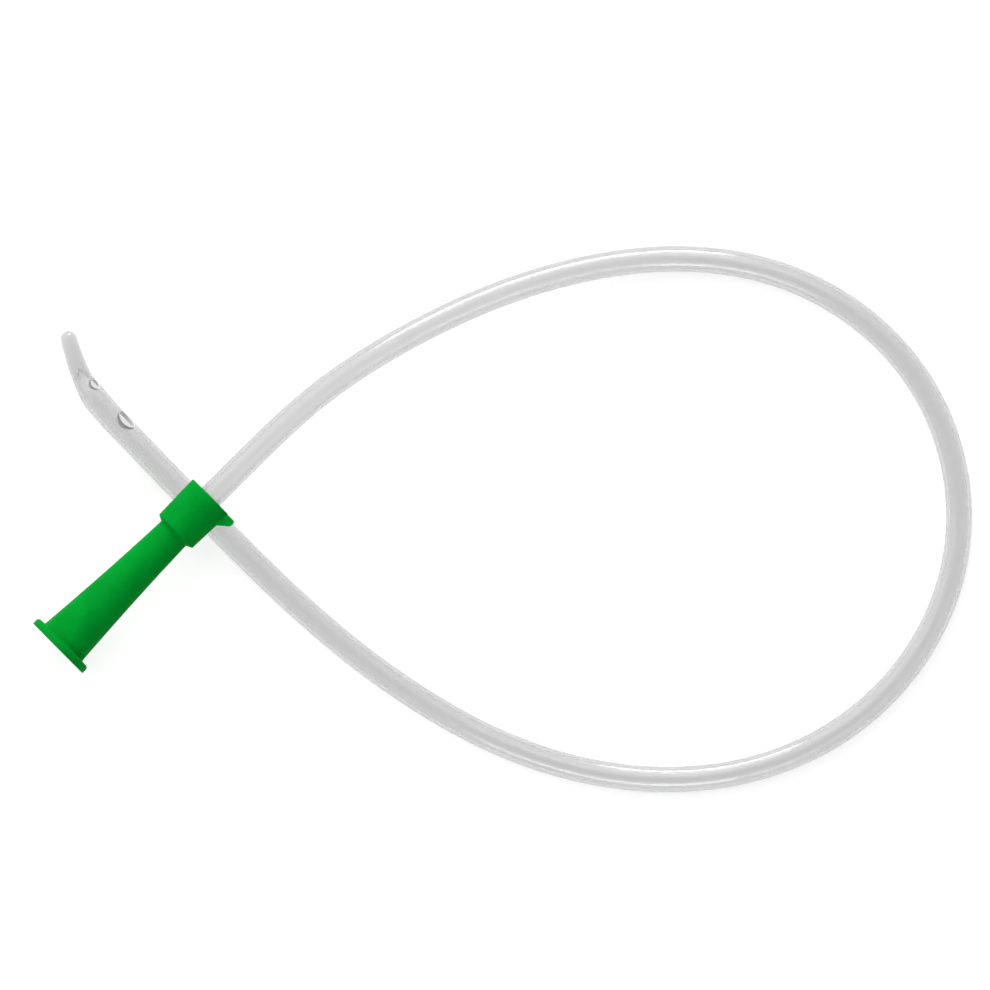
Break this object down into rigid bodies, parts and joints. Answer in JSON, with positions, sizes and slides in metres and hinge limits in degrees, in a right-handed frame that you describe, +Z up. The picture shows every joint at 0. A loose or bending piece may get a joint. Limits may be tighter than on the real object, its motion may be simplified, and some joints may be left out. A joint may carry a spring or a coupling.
{
  "type": "coude catheter",
  "caption": "Single-use urinary catheter laid in a loop: clear flexible tube with drainage eyes and a tapered, bent closed tip, and a green funnel connector with a direction tab.",
  "frame": {"origin": "on the surface that the catheter lies on, below the middle of the whole lying catheter", "axes": "+Z up, +X along the funnel from its mouth towards its collar seen from above, +Y towards the bent tip"},
  "size_m": [0.1483, 0.1521, 0.014],
  "materials": {
    "clear_pvc": "frosted translucent, satin",
    "green_pvc": "opaque moulded, satin"
  },
  "bodies": {
    "root": {"catheter_tube": "clear_pvc", "funnel_connector": "green_pvc"}
  },
  "joints": []
}
